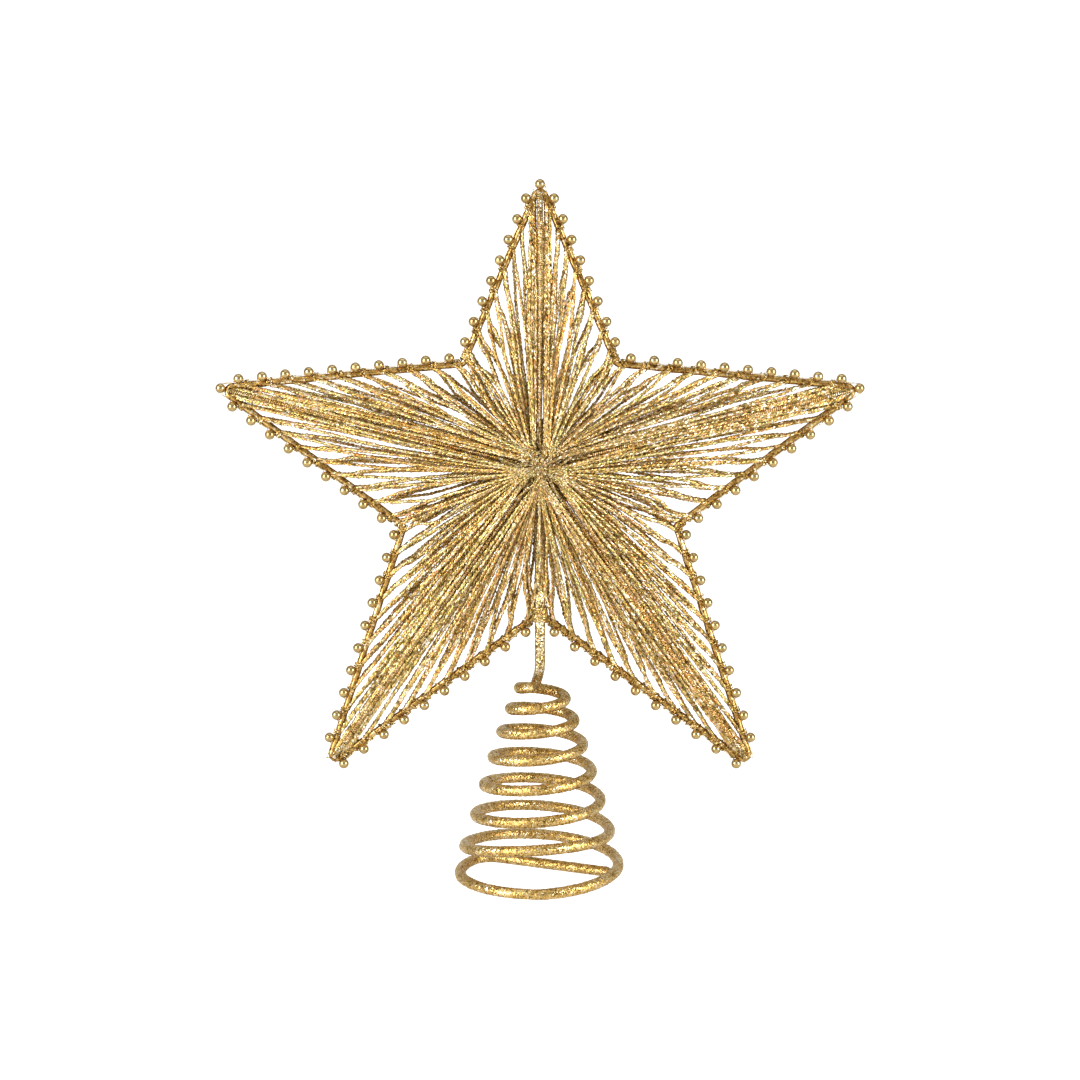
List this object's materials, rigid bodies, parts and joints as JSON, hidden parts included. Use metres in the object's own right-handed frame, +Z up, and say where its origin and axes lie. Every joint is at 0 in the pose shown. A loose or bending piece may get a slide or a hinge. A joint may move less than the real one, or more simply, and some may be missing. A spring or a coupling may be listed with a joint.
{
  "type": "tree topper star",
  "caption": "Star of bent wire wound with glitter thread to a raised centre and edged with beads, on a stem and a conical wire coil that slips over a tree's top shoot.",
  "frame": {"origin": "middle of the coil's foot turn, on the ground", "axes": "+Z up, +X to the viewer's right, the star's front faces -Y"},
  "size_m": [0.2572, 0.0675, 0.2802],
  "materials": {
    "frame_wire": "smooth gold lacquer",
    "glitter_wire": "gold glitter",
    "glitter_thread": "champagne glitter",
    "bead": "pearly antique gold",
    "bead_string": "fine pale gold wire"
  },
  "bodies": {
    "base": {"coil_foot": "glitter_wire", "coil": "glitter_wire"},
    "star": {"star_frame": "frame_wire", "frame_joint": "frame_wire", "crossing_front": "glitter_thread", "crossing_back": "glitter_thread", "hub_post": "glitter_wire", "stem": "glitter_wire", "stem_lashing": "glitter_thread", "ridge_front_crown": "glitter_thread", "ridge_front_left_arm": "glitter_thread", "ridge_front_left_leg": "glitter_thread", "ridge_front_right_leg": "glitter_thread", "ridge_front_right_arm": "glitter_thread", "winding_front_crown_right": "glitter_thread", "winding_front_crown_left": "glitter_thread", "winding_front_left_arm_upper": "glitter_thread", "winding_front_left_arm_lower": "glitter_thread", "winding_front_left_leg_outer": "glitter_thread", "winding_front_left_leg_inner": "glitter_thread", "winding_front_right_leg_inner": "glitter_thread", "winding_front_right_leg_outer": "glitter_thread", "winding_front_right_arm_lower": "glitter_thread", "winding_front_right_arm_upper": "glitter_thread", "ridge_back_crown": "glitter_thread", "ridge_back_left_arm": "glitter_thread", "ridge_back_left_leg": "glitter_thread", "ridge_back_right_leg": "glitter_thread", "ridge_back_right_arm": "glitter_thread", "winding_back_crown_right": "glitter_thread", "winding_back_crown_left": "glitter_thread", "winding_back_left_arm_upper": "glitter_thread", "winding_back_left_arm_lower": "glitter_thread", "winding_back_left_leg_outer": "glitter_thread", "winding_back_left_leg_inner": "glitter_thread", "winding_back_right_leg_inner": "glitter_thread", "winding_back_right_leg_outer": "glitter_thread", "winding_back_right_arm_lower": "glitter_thread", "winding_back_right_arm_upper": "glitter_thread", "beads_crown": "bead", "bead_string_crown": "bead_string", "beads_left_arm": "bead", "bead_string_left_arm": "bead_string", "beads_left_leg": "bead", "bead_string_left_leg": "bead_string", "beads_right_leg": "bead", "bead_string_right_leg": "bead_string", "beads_right_arm": "bead", "bead_string_right_arm": "bead_string"}
  },
  "joints": [
    {"name": "press", "type": "slide", "parent": "base", "child": "star", "axis": [0, 0, 1], "range_m": [-0.025, 0], "stiffness_N_per_m": 2000, "springref_m": 0.0006, "deforming": ["coil"]}
  ]
}
